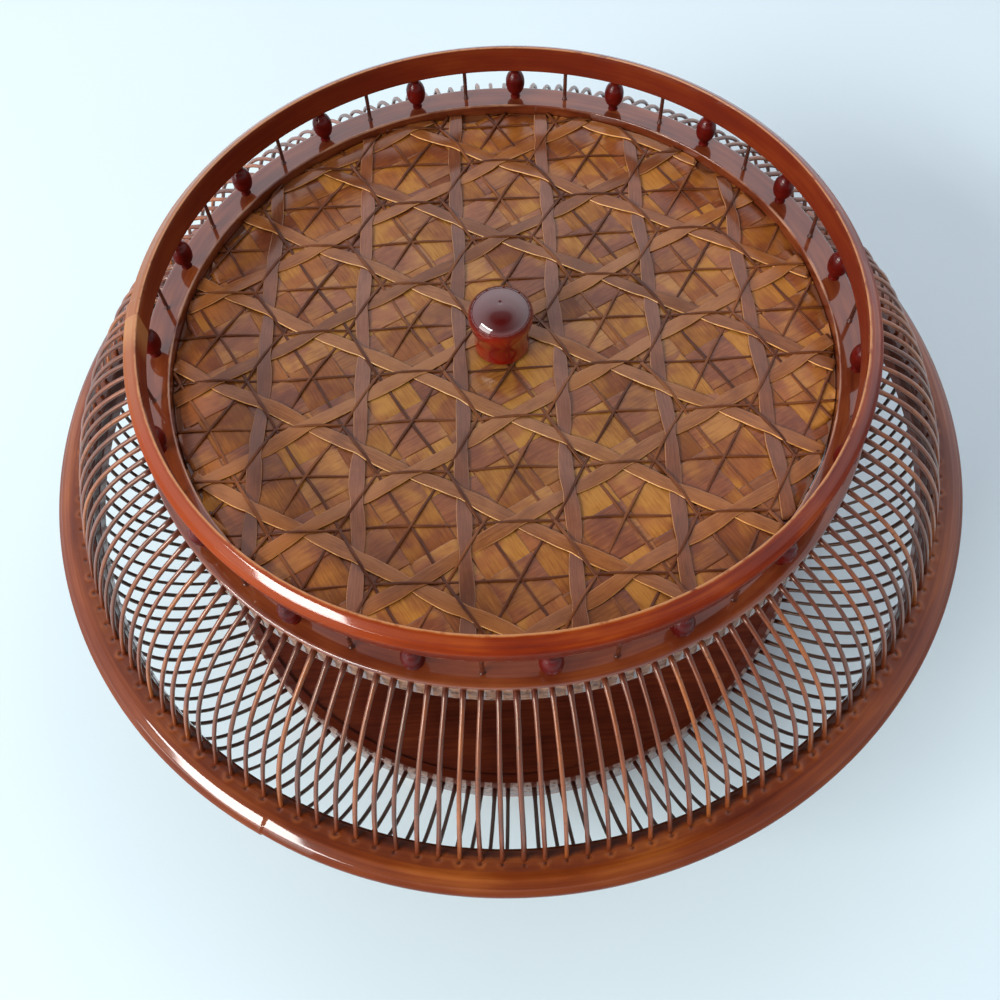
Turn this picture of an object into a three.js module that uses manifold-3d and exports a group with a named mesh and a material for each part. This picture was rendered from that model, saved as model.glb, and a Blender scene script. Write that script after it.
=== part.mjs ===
// Lacquered bamboo food basket. Thin curved ribs stand in hoops and make a wide bowl and a
// drawn-in shoulder. A low gallery of turned beads and pegs carries the top hoop round the
// mouth, and a round woven lid lies in the mouth and lifts out by its turned knob.
// Lengths are in millimetres and angles in degrees. +Z is up, and the origin is the middle
// of the foot, on the table. The view from the front looks along +Y.
import * as THREE from 'three';
import { mergeVertices } from 'three/addons/utils/BufferGeometryUtils.js';
import Module from 'manifold-3d';

const wasm = await Module();
wasm.setup();

// Clearances
const fitGap = 0.3; // between neighbouring pieces
const ribEndGap = 0.5; // from a rib's end to the hoop that it meets
const lidEdgeGap = 0.6; // from the lid's edge to the neck ring round it

// Counts
const hoopFacets = 60;
const roundingSteps = 2; // chords in a hoop's rounded edge
const ribCount = 152;
const beadCount = 19;
const quarterNames = ['right', 'back', 'left', 'front'];

// Foot, base hoop and base board
const footHeight = 7.7;
const footWidth = 8;
const footInset = 1; // the foot stands in from the base hoop's outside
const baseRadius = 109.4;
const baseHeight = 14.4;
const baseWall = 3.8;
const baseLedgeWidth = 6;
const boardThickness = 4;
const boardSink = 1; // from the base hoop's top down to the board's top
const lowerRibEndDrop = 3.9; // from the base hoop's top down to the ribs' ends

// Wide rim, made of two hoops that lie on each other
const bowlDepth = 48.3; // from the base hoop's top up to the lower rim hoop
const rimRadius = 150;
const rimWidth = 11.25;
const rimLowerHeight = 6;
const rimUpperHeight = 6;
const rimUpperInset = 0.6; // the upper hoop's outside stands in from the lower one's
const rimRounding = 2;

// Ribs, and the strip that a quarter's ribs are rooted in
const ribCircleInset = 7.95; // from the rim's outside to the circle of rib roots
const ribRadius = 0.72;
const ribSides = 3;
const rootStripWidth = 1.9;
const rootStripHeight = 2.4;
const upperRib = { steps: 3, rootLean: 74, rootReach: 20, endSlope: 22, endReach: 25 };
const lowerRib = { steps: 4, rootLean: 96, rootReach: 26.8, endSlope: 19.5, endReach: 26.9 };

// Neck ring and the seat hoop that the lid rests on
const shoulderRise = 35.4; // from the rim's top up to the neck ring's underside
const neckRadius = 107.9;
const neckWidth = 9.1;
const neckHeight = 10.2;
const neckRounding = 0.8;
const upperRibEndRise = 8; // from the neck ring's underside up to the ribs' ends
const seatWidth = 5;
const seatThickness = 2.2;

// Gallery of beads and pegs, and the top hoop on it
const galleryHeight = 11.6;
const beadCircleInset = 4.4; // from the neck ring's outside to the circle of beads
const beadDiameter = 6.4;
const beadEndDiameter = 3.6;
const beadFacets = 8;
const beadSteps = 4;
const beadFullness = 0.8; // 1 for a sine's swell, less for a fuller one
const pegDiameter = 1.4;
const pegFacets = 6;
const galleryPhase = 3.7; // turns the first bead away from the front
const topHoopThickness = 4.5;
const topHoopHeight = 9.4;
const topHoopRounding = 2.6; // of the outer top edge

// Lid
const lidRecess = 3; // from the neck ring's top down to the lid's woven top
const lidRimWidth = 3;
const lidLedgeWidth = 4;
const lidLedgeThickness = 1.2;
const lidBackingThickness = 1.6;
const lidWeaveThickness = 1;
const knobHeight = 18.8;
const knobHeadDiameter = 19;
const knobNeckDiameter = 16.2;
const knobFootDiameter = 16.4;
const knobNeckHeight = 5; // from the knob's foot up to where it starts to swell
const knobCrownHeight = 5.2; // from the head's widest level up to its top
const knobSwellSteps = 3;
const knobCrownSteps = 4;
const knobCrownFullness = 0.85; // 1 for an ellipse, less for a squarer crown
const knobBoreDepth = 9;
const knobFacets = 24;
const pinDiameter = 3.6;
const pinHeadDiameter = 9;
const pinHeadThickness = 1.1;
const pinFacets = 12;

// Levels, from the table up
const baseBottom = footHeight + fitGap;
const baseTop = baseBottom + baseHeight;
const boardTop = baseTop - boardSink;
const boardBottom = boardTop - boardThickness;
const rimBottom = baseTop + bowlDepth;
const rimUpperBottom = rimBottom + rimLowerHeight + fitGap;
const rimTop = rimUpperBottom + rimUpperHeight;
const neckBottom = rimTop + shoulderRise;
const neckTop = neckBottom + neckHeight;
const topHoopBottom = neckTop + galleryHeight;
const lidTop = neckTop - lidRecess;
const lidWeaveBottom = lidTop - lidWeaveThickness;
const lidRimHeight = lidLedgeThickness + fitGap + lidBackingThickness;
const lidBottom = lidWeaveBottom - fitGap - lidRimHeight;
const seatTop = lidBottom - fitGap;

// Circles that neighbours share
const rimInnerRadius = rimRadius - rimWidth;
const ribCircle = rimRadius - ribCircleInset;
const neckBore = neckRadius - neckWidth;
const beadCircle = neckRadius - beadCircleInset;
const lidRadius = neckBore - lidEdgeGap;
const lidBore = lidRadius - lidRimWidth;
const grooveWidth = rootStripWidth + 2 * fitGap;
const grooveDepth = rootStripHeight + 2 * fitGap;

const radians = THREE.MathUtils.degToRad;
const quarterAngle = 90;
const facetAngle = 360 / hoopFacets;
const mergeDistance = 0.0001; // corners that lie closer are one corner

// Finish of each kind of piece
const finishes = {
  hoop: { color: 0x7a3216, roughness: 0.22 },
  ring: { color: 0x5a2214, roughness: 0.22 },
  rib: { color: 0x5c2a16, roughness: 0.3 },
  board: { color: 0x30110a, roughness: 0.4 },
  bead: { color: 0x4a0d0a, roughness: 0.12 },
  peg: { color: 0x3a160c, roughness: 0.3 },
  weave: { color: 0x9a5c28, roughness: 0.3 },
  knob: { color: 0x5c0d0a, roughness: 0.08 },
};

function piece(name, geometry, finish) {
  const material = new THREE.MeshStandardMaterial({ ...finishes[finish], metalness: 0 });
  const mesh = new THREE.Mesh(geometry, material);
  mesh.name = name;
  return mesh;
}

// Solid of revolution about Z. The profile is a list of [radius, height] and runs
// anticlockwise when the radius is drawn to the right and the height upwards.
function turned(profile, facets) {
  const points = profile.map(([radius, height]) => new THREE.Vector2(radius, height));
  return new THREE.LatheGeometry(points, facets).rotateX(Math.PI / 2);
}

function hoop(profile) {
  return turned([...profile, profile[0]], hoopFacets);
}

function plainHoop(innerRadius, outerRadius, height) {
  return hoop([
    [innerRadius, 0],
    [outerRadius, 0],
    [outerRadius, height],
    [innerRadius, height],
  ]);
}

// Outer top edge rounded through a quarter circle, from the side up to the top
function roundedEdge(radius, height, rounding, steps) {
  const points = [];
  for (let i = 0; i <= steps; i += 1) {
    const angle = radians((i * quarterAngle) / steps);
    const inset = rounding * (1 - Math.cos(angle));
    const drop = rounding * (1 - Math.sin(angle));
    points.push([radius - inset, height - drop]);
  }
  return points;
}

// Hoop with a step inside at its foot, for something to lie on
function ledgedHoop(innerRadius, outerRadius, height, ledgeWidth, ledgeHeight) {
  return hoop([
    [innerRadius - ledgeWidth, 0],
    [outerRadius, 0],
    [outerRadius, height],
    [innerRadius, height],
    [innerRadius, ledgeHeight],
    [innerRadius - ledgeWidth, ledgeHeight],
  ]);
}

function polygon(radius, facets) {
  const corners = [];
  for (let i = 0; i < facets; i += 1) {
    const angle = (i * 2 * Math.PI) / facets;
    corners.push(new THREE.Vector2(radius * Math.cos(angle), radius * Math.sin(angle)));
  }
  return corners;
}

// Flat round plate, with a round hole in the middle where a hole radius is given
function plate(radius, thickness, holeRadius) {
  const shape = new THREE.Shape(polygon(radius, hoopFacets));
  if (holeRadius) {
    shape.holes.push(new THREE.Path(polygon(holeRadius, pinFacets)));
  }
  return new THREE.ExtrudeGeometry(shape, { depth: thickness, bevelEnabled: false });
}

function toSolid(geometry) {
  const bare = geometry.clone();
  bare.deleteAttribute('normal');
  bare.deleteAttribute('uv');
  const merged = mergeVertices(bare, mergeDistance);
  return new wasm.Manifold(
    new wasm.Mesh({
      numProp: 3,
      vertProperties: new Float32Array(merged.attributes.position.array),
      triVerts: new Uint32Array(merged.index.array),
    }),
  );
}

function toGeometry(solid) {
  const mesh = solid.getMesh();
  const geometry = new THREE.BufferGeometry();
  geometry.setAttribute('position', new THREE.BufferAttribute(mesh.vertProperties, 3));
  geometry.setIndex(new THREE.BufferAttribute(mesh.triVerts, 1));
  return geometry;
}

// One rib in the XZ plane, from its root out to its end on the hoop that it meets.
// rootLean is the root's slope above the inward level, and rootReach and endReach say
// how far the rib holds its direction at each end. up is 1 for a rib that climbs and -1
// for one that hangs.
function ribSolid(form, root, end, up) {
  const lean = radians(form.rootLean);
  const slope = radians(form.endSlope);
  const path = new THREE.CubicBezierCurve3(
    new THREE.Vector3(root.radius, 0, root.height),
    new THREE.Vector3(
      root.radius - form.rootReach * Math.cos(lean),
      0,
      root.height + up * form.rootReach * Math.sin(lean),
    ),
    new THREE.Vector3(
      end.radius + form.endReach * Math.cos(slope),
      0,
      end.height - up * form.endReach * Math.sin(slope),
    ),
    new THREE.Vector3(end.radius, 0, end.height),
  );
  const section = new THREE.Shape(polygon(ribRadius, ribSides));
  return toSolid(new THREE.ExtrudeGeometry(section, { steps: form.steps, extrudePath: path }));
}

// Flat strip that follows the hoops' facets through one quarter of the circle
function quarterStrip(startAngle) {
  const trim = fitGap / 2 / ribCircle;
  const angles = [trim];
  for (let i = 1; i < quarterAngle / facetAngle; i += 1) {
    angles.push(radians(i * facetAngle));
  }
  angles.push(radians(quarterAngle) - trim);
  const half = rootStripWidth / 2;
  const outer = angles.map((angle) => facetPoint(ribCircle + half, angle, startAngle));
  const inner = angles.map((angle) => facetPoint(ribCircle - half, angle, startAngle));
  const shape = new THREE.Shape([...outer, ...inner.reverse()]);
  return new THREE.ExtrudeGeometry(shape, { depth: rootStripHeight, bevelEnabled: false });
}

// Point on a circle that is drawn with the hoops' facets, at an angle past a facet's corner
function facetPoint(radius, angle, startAngle) {
  const facet = radians(facetAngle);
  const corner = Math.round(angle / facet);
  const past = Math.abs(angle - corner * facet);
  const flat = (radius * Math.cos(facet / 2)) / Math.cos(facet / 2 - past);
  const turn = radians(startAngle) + angle;
  return new THREE.Vector2(flat * Math.cos(turn), flat * Math.sin(turn));
}

// A quarter of the ribs, rooted in their strip
function ribQuarter(quarter, form, stripBottom, rootHeight, end, up) {
  const startAngle = (quarter - 0.5) * quarterAngle;
  const rib = ribSolid(form, { radius: ribCircle, height: rootHeight }, end, up);
  let solid = toSolid(quarterStrip(startAngle).translate(0, 0, stripBottom));
  const perQuarter = ribCount / quarterNames.length;
  for (let i = 0; i < perQuarter; i += 1) {
    const angle = startAngle + ((i + 0.5) * quarterAngle) / perQuarter;
    solid = solid.add(rib.rotate([0, 0, angle]));
  }
  return toGeometry(solid);
}

// Foot, base hoop and board
function makeBase() {
  const base = new THREE.Group();
  const footRadius = baseRadius - footInset;
  const bore = baseRadius - baseWall;
  base.add(piece('foot_hoop', plainHoop(footRadius - footWidth, footRadius, footHeight), 'hoop'));

  const ledgeHeight = boardBottom - fitGap - baseBottom;
  const hoopSolid = ledgedHoop(bore, baseRadius, baseHeight, baseLedgeWidth, ledgeHeight);
  const baseHoop = piece('base_hoop', hoopSolid, 'ring');
  baseHoop.position.z = baseBottom;
  base.add(baseHoop);

  const board = piece('base_board', plate(bore - fitGap, boardThickness), 'board');
  board.position.z = boardBottom;
  base.add(board);
  return base;
}

// Two rim hoops. A groove in the upper one's top and one in the lower one's underside hold
// the strips that the ribs are rooted in.
function makeRim() {
  const rim = new THREE.Group();
  const grooveInner = ribCircle - grooveWidth / 2;
  const grooveOuter = ribCircle + grooveWidth / 2;

  const lowerHoop = hoop([
    [rimInnerRadius, 0],
    [grooveInner, 0],
    [grooveInner, grooveDepth],
    [grooveOuter, grooveDepth],
    [grooveOuter, 0],
    [rimRadius - rimRounding, 0],
    [rimRadius, rimRounding],
    [rimRadius, rimLowerHeight],
    [rimInnerRadius, rimLowerHeight],
  ]);
  const lower = piece('rim_lower_hoop', lowerHoop, 'hoop');
  lower.position.z = rimBottom;
  rim.add(lower);

  const upperRadius = rimRadius - rimUpperInset;
  const grooveFloor = rimUpperHeight - grooveDepth;
  const upperHoop = hoop([
    [rimInnerRadius, 0],
    [upperRadius, 0],
    ...roundedEdge(upperRadius, rimUpperHeight, rimRounding, roundingSteps),
    [grooveOuter, rimUpperHeight],
    [grooveOuter, grooveFloor],
    [grooveInner, grooveFloor],
    [grooveInner, rimUpperHeight],
    [rimInnerRadius, rimUpperHeight],
  ]);
  const upper = piece('rim_upper_hoop', upperHoop, 'hoop');
  upper.position.z = rimUpperBottom;
  rim.add(upper);
  return rim;
}

// Bowl ribs hang from the lower rim hoop to the base hoop, and shoulder ribs climb from the
// upper rim hoop to the neck ring
function makeRibs() {
  const ribs = new THREE.Group();
  const upperStrip = rimTop - fitGap - rootStripHeight;
  const lowerStrip = rimBottom + fitGap;
  const upperEnd = { radius: neckRadius + ribEndGap, height: neckBottom + upperRibEndRise };
  const lowerEnd = { radius: baseRadius + ribEndGap, height: baseTop - lowerRibEndDrop };
  const rootDepth = rootStripHeight / 2;
  quarterNames.forEach((name, quarter) => {
    const shoulder = ribQuarter(quarter, upperRib, upperStrip, upperStrip + rootDepth, upperEnd, 1);
    const bowl = ribQuarter(quarter, lowerRib, lowerStrip, lowerStrip + rootDepth, lowerEnd, -1);
    ribs.add(piece(`shoulder_ribs_${name}`, shoulder, 'rib'));
    ribs.add(piece(`bowl_ribs_${name}`, bowl, 'rib'));
  });
  return ribs;
}

// Neck ring, with the seat hoop inside it that the lid rests on
function makeNeck() {
  const neck = new THREE.Group();
  const ringSolid = hoop([
    [neckBore, 0],
    [neckRadius, 0],
    [neckRadius, neckHeight - neckRounding],
    [neckRadius - neckRounding, neckHeight],
    [neckBore, neckHeight],
  ]);
  const ring = piece('neck_ring', ringSolid, 'ring');
  ring.position.z = neckBottom;
  neck.add(ring);

  const seatRadius = neckBore - fitGap;
  const seatSolid = plainHoop(seatRadius - seatWidth, seatRadius, seatThickness);
  const seat = piece('lid_seat_hoop', seatSolid, 'ring');
  seat.position.z = seatTop - seatThickness;
  neck.add(seat);
  return neck;
}

// Oval bead that stands on its end
function beadSolid(height) {
  const profile = [[0, 0]];
  for (let i = 0; i <= beadSteps; i += 1) {
    const t = i / beadSteps;
    const swell = Math.sin(Math.PI * t) ** beadFullness;
    const diameter = beadEndDiameter + (beadDiameter - beadEndDiameter) * swell;
    profile.push([diameter / 2, t * height]);
  }
  profile.push([0, height]);
  return turned(profile, beadFacets);
}

// Beads and pegs stand by turns round the neck ring and carry the top hoop
function makeGallery() {
  const gallery = new THREE.Group();
  const standHeight = galleryHeight - 2 * fitGap;
  const bead = beadSolid(standHeight);
  const pegRadius = pegDiameter / 2;
  const peg = turned([[0, 0], [pegRadius, 0], [pegRadius, standHeight], [0, standHeight]], pegFacets);
  const step = 360 / beadCount;
  for (let i = 0; i < beadCount; i += 1) {
    const label = String(i + 1).padStart(2, '0');
    const stands = [
      piece(`gallery_bead_${label}`, bead, 'bead'),
      piece(`gallery_peg_${label}`, peg, 'peg'),
    ];
    stands.forEach((stand, half) => {
      const angle = radians(galleryPhase - 90 + (i + half / 2) * step);
      stand.position.set(beadCircle * Math.cos(angle), beadCircle * Math.sin(angle), neckTop + fitGap);
      gallery.add(stand);
    });
  }

  const inner = beadCircle - topHoopThickness / 2;
  const outer = beadCircle + topHoopThickness / 2;
  const hoopSolid = hoop([
    [inner, 0],
    [outer, 0],
    ...roundedEdge(outer, topHoopHeight, topHoopRounding, roundingSteps),
    [inner, topHoopHeight],
  ]);
  const topHoop = piece('top_hoop', hoopSolid, 'hoop');
  topHoop.position.z = topHoopBottom;
  gallery.add(topHoop);
  return gallery;
}

// Turned knob that swells from its neck to a domed head, with a bore in its foot for the pin
function knobSolid() {
  const head = knobHeadDiameter / 2;
  const neck = knobNeckDiameter / 2;
  const bore = pinDiameter / 2 + fitGap;
  const widest = knobHeight - knobCrownHeight;
  const profile = [
    [0, knobBoreDepth],
    [bore, knobBoreDepth],
    [bore, 0],
    [knobFootDiameter / 2, 0],
    [neck, knobNeckHeight],
  ];
  for (let i = 1; i <= knobSwellSteps; i += 1) {
    const share = i / knobSwellSteps;
    const swell = (1 - Math.cos(Math.PI * share)) / 2;
    profile.push([neck + (head - neck) * swell, knobNeckHeight + (widest - knobNeckHeight) * share]);
  }
  for (let i = 1; i <= knobCrownSteps; i += 1) {
    const angle = radians((quarterAngle * i) / knobCrownSteps);
    const radius = i === knobCrownSteps ? 0 : head * Math.cos(angle) ** knobCrownFullness;
    profile.push([radius, widest + knobCrownHeight * Math.sin(angle)]);
  }
  return turned(profile, knobFacets);
}

// Pin with a flat head that holds the knob from under the lid
function pinSolid(length) {
  return turned(
    [
      [0, 0],
      [pinHeadDiameter / 2, 0],
      [pinHeadDiameter / 2, pinHeadThickness],
      [pinDiameter / 2, pinHeadThickness],
      [pinDiameter / 2, length],
      [0, length],
    ],
    pinFacets,
  );
}

// The backing lies inside the lid's rim, and the woven panel covers both out to the edge
function makeLid() {
  const lid = new THREE.Group();
  const rim = ledgedHoop(lidBore, lidRadius, lidRimHeight, lidLedgeWidth, lidLedgeThickness);
  const rimHoop = piece('lid_rim_hoop', rim, 'hoop');
  rimHoop.position.z = lidBottom;
  lid.add(rimHoop);

  const pinHole = pinDiameter / 2 + fitGap;
  const backingBottom = lidBottom + lidLedgeThickness + fitGap;
  const backing = plate(lidBore - fitGap, lidBackingThickness, pinHole);
  const backingPanel = piece('lid_backing_panel', backing, 'weave');
  backingPanel.position.z = backingBottom;
  lid.add(backingPanel);

  const weavePanel = piece('lid_weave_panel', plate(lidRadius, lidWeaveThickness, pinHole), 'weave');
  weavePanel.position.z = lidWeaveBottom;
  lid.add(weavePanel);

  const knobBottom = lidTop + fitGap;
  const knob = piece('lid_knob', knobSolid(), 'knob');
  knob.position.z = knobBottom;
  lid.add(knob);

  const pinBottom = backingBottom - fitGap - pinHeadThickness;
  const pinLength = knobBottom + knobBoreDepth - fitGap - pinBottom;
  const pin = piece('knob_pin', pinSolid(pinLength), 'peg');
  pin.position.z = pinBottom;
  lid.add(pin);
  return lid;
}

const basket = new THREE.Group();
basket.add(makeBase(), makeRim(), makeRibs(), makeNeck(), makeGallery(), makeLid());

export default basket;
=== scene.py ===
# Looks of the lacquered bamboo food basket. Every piece is modelled in metres round the
# basket's axis, +Z up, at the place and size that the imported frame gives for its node.
import math
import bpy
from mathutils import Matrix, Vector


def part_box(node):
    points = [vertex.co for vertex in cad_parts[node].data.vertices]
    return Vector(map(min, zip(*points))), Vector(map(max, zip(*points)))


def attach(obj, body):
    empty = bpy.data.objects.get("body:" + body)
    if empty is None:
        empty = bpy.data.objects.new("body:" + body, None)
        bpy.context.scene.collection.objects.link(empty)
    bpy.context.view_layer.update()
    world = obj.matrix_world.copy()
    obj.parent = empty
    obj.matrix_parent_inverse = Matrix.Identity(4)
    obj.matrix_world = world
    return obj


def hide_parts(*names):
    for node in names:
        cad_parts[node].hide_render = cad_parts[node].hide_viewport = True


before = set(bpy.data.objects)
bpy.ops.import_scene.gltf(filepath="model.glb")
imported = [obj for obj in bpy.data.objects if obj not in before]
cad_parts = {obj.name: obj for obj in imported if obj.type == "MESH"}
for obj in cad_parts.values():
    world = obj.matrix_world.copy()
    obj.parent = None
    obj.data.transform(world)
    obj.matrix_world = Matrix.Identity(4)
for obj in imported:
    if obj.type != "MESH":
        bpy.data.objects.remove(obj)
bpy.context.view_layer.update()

from types import SimpleNamespace

import bpy
import numpy as np
from mathutils import Matrix

MM = 0.001
TAU = 2 * math.pi

# Camera, fitted to the hoops of the photograph
CAMERA_AIM = (-3.46 * MM, -30.65 * MM, 83 * MM)
CAMERA_DISTANCE = 324.09 * MM
CAMERA_ELEVATION = 62.114
CAMERA_ROLL = -3.504
FRONT_AZIMUTH = -90
CAMERA_LENS = 36
CAMERA_SENSOR = 36

# Room light: grey against the sine of the height above the horizon. The bright side adds its
# swing to the middle, in full from one height on, and the other side loses it
SKY_STOPS = ((0.0, 1.0), (0.45, 1.0), (0.65, 0.86), (0.8, 0.76), (0.9, 0.48), (0.94, 0.18), (1.0, 0.09))
SKY_STRENGTH = 1.53
SKY_COLOUR = (0.98, 0.95, 1.02)
SKY_BRIGHT_SIDE = (0.0, 1.0, 0.0)
SKY_MIDDLE = 0.64
SKY_SWING = 0.5
SKY_SWING_FULL = 0.6
BACKDROP_COLOUR = (0.74, 0.88, 0.93)
FLOOR_TONES = ((0.68, 0.84, 0.895), (0.71, 0.87, 0.92))
FLOOR_HALF = 3.0

# Windows at the front left: elevation in degrees, height in metres, power in watts
WINDOW_AZIMUTH = -146
WINDOW_AIM = (0, 0, 0.1)
WINDOW_DISTANCE = 2.4
WINDOW_WIDTH = 1.6
WINDOW_COLOUR = (1.0, 0.98, 0.95)
WINDOWS = {"window": (35, 0.29, 41.0), "lower_window": (16, 1.0, 26.0)}

# Lacquers in linear RGB, from the dark to the light tone
TOP_HOOP_TONES = ((0.09, 0.005, 0.001), (0.19, 0.02, 0.002), (0.33, 0.062, 0.006))
RIM_TONES = ((0.09, 0.012, 0.002), (0.18, 0.034, 0.004), (0.3, 0.08, 0.012))
LOW_HOOP_TONES = ((0.07, 0.014, 0.007), (0.14, 0.03, 0.012), (0.22, 0.06, 0.022))
BOARD_TONES = ((0.05, 0.007, 0.003), (0.095, 0.015, 0.005), (0.14, 0.028, 0.009))
NECK_TONES = ((0.065, 0.009, 0.003), (0.14, 0.026, 0.007), (0.23, 0.058, 0.015))
BASE_BAND_TONES = ((0.08, 0.04, 0.03), (0.27, 0.18, 0.15), (0.43, 0.32, 0.27))
NECK_BAND_TONES = ((0.07, 0.024, 0.012), (0.27, 0.118, 0.06), (0.42, 0.22, 0.125))
SHOULDER_TONES = ((0.07, 0.01, 0.002), (0.16, 0.028, 0.005), (0.33, 0.092, 0.016))
# Painted shade: the bowl ribs are the shoulder ribs' lacquer, painted darker for the shade inside the
# basket
SHADED_BOWL_TONES = ((0.014, 0.006, 0.006), (0.03, 0.011, 0.009), (0.06, 0.022, 0.015))
BEAD_TONES = ((0.045, 0.002, 0.0015), (0.12, 0.006, 0.003))
PEG_TONES = ((0.03, 0.008, 0.005), (0.09, 0.022, 0.012))
KNOB_TONES = ((0.13, 0.003, 0.0015), (0.26, 0.01, 0.003))
BINDING_TONES = ((0.06, 0.017, 0.006), (0.13, 0.04, 0.013), (0.22, 0.08, 0.026))
SMOOTH_TONES = ((0.12, 0.03, 0.009), (0.19, 0.058, 0.018), (0.27, 0.095, 0.03))
FIBROUS_TONES = ((0.17, 0.054, 0.008), (0.27, 0.106, 0.017), (0.38, 0.18, 0.034))
FLAT_TONES = ((0.13, 0.042, 0.012), (0.2, 0.072, 0.021), (0.28, 0.115, 0.036))
UPRIGHT_TONES = ((0.105, 0.036, 0.016), (0.16, 0.056, 0.026), (0.22, 0.085, 0.04))
STRAND_TONES = ((0.05, 0.013, 0.004), (0.1, 0.029, 0.009), (0.18, 0.062, 0.018))
RIB_GLOSS_TINT = (1.0, 0.7, 0.46, 1.0)
# Painted light: the lid's weave is painted brighter and warmer towards its edge, where the top hoop's
# shade falls
LID_EDGE_PAINTED_LIGHT = (1.3, 1.1, 0.8)

# Pale bands of the base and neck rings: above the underside, under the top, depth, in mm
BASE_BAND = (4.5, -1.0, 1.4)
NECK_BAND = (0.4, 0.9, 0.7)

# Ribs
RIB_COUNT = 152
RIB_STEP = TAU / RIB_COUNT
RIB_SIDES = 10
RIB_RADIUS = 0.63 * MM
RIB_FLATNESS = 3.2
RIB_CIRCLE_INSET = 7.95 * MM
RIB_ROOT_DEPTH = 1.5 * MM
RIB_SEAT_DEPTH = 0.4 * MM
UPPER_RIB = {"lean": 74, "reach": 20, "end_slope": 22, "end_reach": 25, "steps": 26}
LOWER_RIB = {"lean": 96, "reach": 26.8, "end_slope": 19.5, "end_reach": 26.9, "steps": 28}
UPPER_RIB_END_RISE = 8 * MM
LOWER_RIB_END_DROP = 3.9 * MM
QUARTERS = ("right", "back", "left", "front")

# Hoops, gallery and knob. Scarf joints are azimuths in radians
RIM_PROUD = 1.6 * MM
TOP_HOOP_TAPER = 0.8 * MM
TOP_SCARF = math.radians(177)
RIM_SCARF = math.radians(-120.5)
GALLERY_OVERLAP = 0.35 * MM
KNOB_NECK_SHARE = 0.853
KNOB_FOOT_SHARE = 0.863

# Share of its rounding by which a corner's level sides are held beside it
LEVEL_SUPPORT = 0.35

# Segments round a turned piece
FINE_SEGMENTS = 480
RIM_STEPS_PER_RIB = 10
BEAD_SEGMENTS = 28
PEG_SEGMENTS = 14
KNOB_SEGMENTS = 96
PIN_SEGMENTS = 48

# Lid weave, in millimetres round the lid's middle
WEAVE_TURN = -0.0151
WEAVE_ORIGIN = (-12.79, -9.1)
WEAVE_PITCH = 29.35
STRAND_PITCH = WEAVE_PITCH / math.sqrt(3)
STRIP_PERIOD = 2 * STRAND_PITCH
STRIP_WIDTH = 4.3
STRIP_THICKNESS = 0.48
STRIP_LIFT = 0.5
STRIP_NARROWING = 0.22
STRAND_THICKNESS = 0.34


# Mesh making

def add_object(name, data):
    """Puts an object with its data into the scene."""
    item = bpy.data.objects.new(name, data)
    bpy.context.scene.collection.objects.link(item)
    return item


def add_piece(name, vertices, faces, attributes=None):
    """Makes a smooth-shaded mesh object and gives its points the named attributes."""
    mesh = bpy.data.meshes.new(name)
    mesh.from_pydata(np.asarray(vertices).tolist(), [], faces)
    mesh.shade_smooth()
    for label, values in (attributes or {}).items():
        values = np.asarray(values, np.float32)
        kind, field = ("FLOAT_VECTOR", "vector") if values.ndim == 2 else ("FLOAT", "value")
        mesh.attributes.new(label, kind, "POINT").data.foreach_set(field, values.ravel())
    return add_object(name, mesh)


def join_parts(name, parts, faces, marks):
    """Makes one piece of the points, faces and attributes of many rods or strips."""
    return add_piece(name, np.vstack(parts), faces, {k: np.concatenate(v) for k, v in marks.items()})


def dress(piece, body, nodes, materials):
    """Puts the piece on its body, in the place of its CAD nodes, with its finish."""
    for material in materials:
        piece.data.materials.append(material)
    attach(piece, body)
    if nodes:
        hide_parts(*nodes)
    return piece


def node_ring(name):
    """Radii and levels of a ring-shaped CAD node."""
    points = np.array([v.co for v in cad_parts[name].data.vertices])
    radii = np.hypot(points[:, 0], points[:, 1])
    levels = points[:, 2]
    return SimpleNamespace(
        inner=float(radii.min()), outer=float(radii.max()),
        low=float(levels.min()), high=float(levels.max()),
    )


def rib_circle():
    """Radius on which the ribs stand in the rim."""
    return node_ring("rim_lower_hoop").outer - RIB_CIRCLE_INSET


def unit(vector):
    return vector / np.linalg.norm(vector)


def rounded_outline(corners, steps=4):
    """Closed outline through (radius, height, rounding) corners, with roundings in millimetres."""
    points = []
    count = len(corners)
    for i, (*here, rounding) in enumerate(corners):
        here = np.array(here)
        rounding *= MM
        before = unit(np.array(corners[i - 1][:2]) - here)
        after = unit(np.array(corners[(i + 1) % count][:2]) - here)
        half = math.acos(max(-1.0, min(1.0, float(before @ after)))) / 2
        cut = rounding / math.tan(half)
        centre = here + unit(before + after) * rounding / math.sin(half)
        start = here + before * cut
        end = here + after * cut
        points.append(start + before * LEVEL_SUPPORT * rounding)
        for angle in np.linspace(0, math.pi / 2, steps + 1):
            ray = (start - centre) * math.cos(angle) + (end - centre) * math.sin(angle)
            points.append(centre + unit(ray) * rounding)
        points.append(end + after * LEVEL_SUPPORT * rounding)
    return np.array(points)


def plain_outline(ring, roundings, steps=4):
    """Outline of a plain hoop, with the roundings of its four corners in millimetres."""
    radii = (ring.inner, ring.outer, ring.outer, ring.inner)
    levels = (ring.low, ring.low, ring.high, ring.high)
    return rounded_outline(list(zip(radii, levels, roundings)), steps)


def split_top(points, spacing, low, high):
    """Adds points to the outline's level stretch between two radii, on its upper side."""
    result = []
    count = len(points)
    for i in range(count):
        a = points[i]
        b = points[(i + 1) % count]
        result.append(a)
        if abs(a[1] - b[1]) < 0.01 * MM and a[0] > b[0]:
            for radius in np.arange(min(a[0], high), max(b[0], low), -spacing)[1:]:
                result.append(np.array([radius, a[1]]))
    return np.array(result)


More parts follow.
